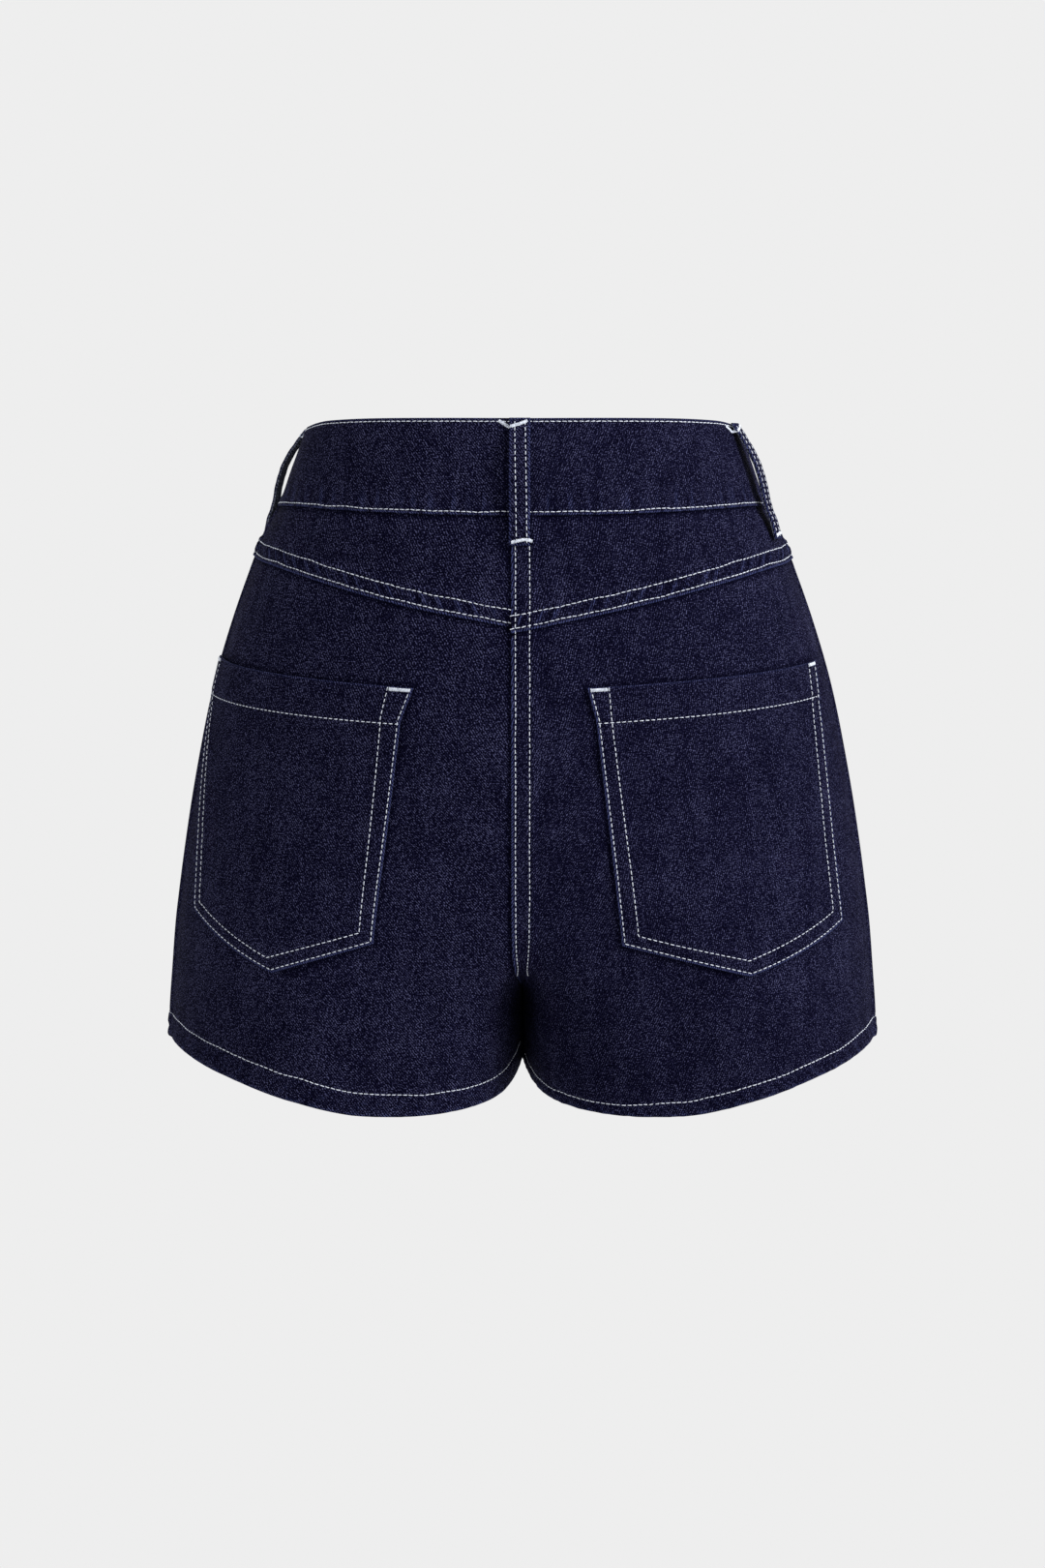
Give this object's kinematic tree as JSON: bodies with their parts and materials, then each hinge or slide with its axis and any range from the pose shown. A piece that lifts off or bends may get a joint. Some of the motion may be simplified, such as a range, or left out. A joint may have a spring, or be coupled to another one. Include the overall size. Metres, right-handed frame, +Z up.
{
  "type": "denim shorts",
  "caption": "High-waisted A-line denim shorts in dark indigo with pale topstitching, back yoke, patch pockets and belt loops, filled out as worn and hollow.",
  "frame": {"origin": "middle of the waist, at half the height of the waistband", "axes": "+Z up, +Y to the wearer's front, +X to the wearer's right"},
  "size_m": [0.4058, 0.2244, 0.3597],
  "materials": {
    "denim": "matte indigo twill",
    "denim_waistband": "matte indigo twill",
    "denim_pocket": "matte indigo twill",
    "denim_loop": "matte indigo twill",
    "brass": "aged, satin"
  },
  "bodies": {
    "root": {"waistband_left": "denim_waistband", "yoke_left": "denim", "back_left": "denim", "front_left": "denim", "pocket_left": "denim_pocket", "waistband_right": "denim_waistband", "yoke_right": "denim", "back_right": "denim", "front_right": "denim", "pocket_right": "denim_pocket", "loop_back": "denim_loop", "loop_left_side": "denim_loop", "loop_right_side": "denim_loop", "loop_left_front": "denim_loop", "loop_right_front": "denim_loop", "fly_shield": "denim", "button": "brass"}
  },
  "joints": []
}
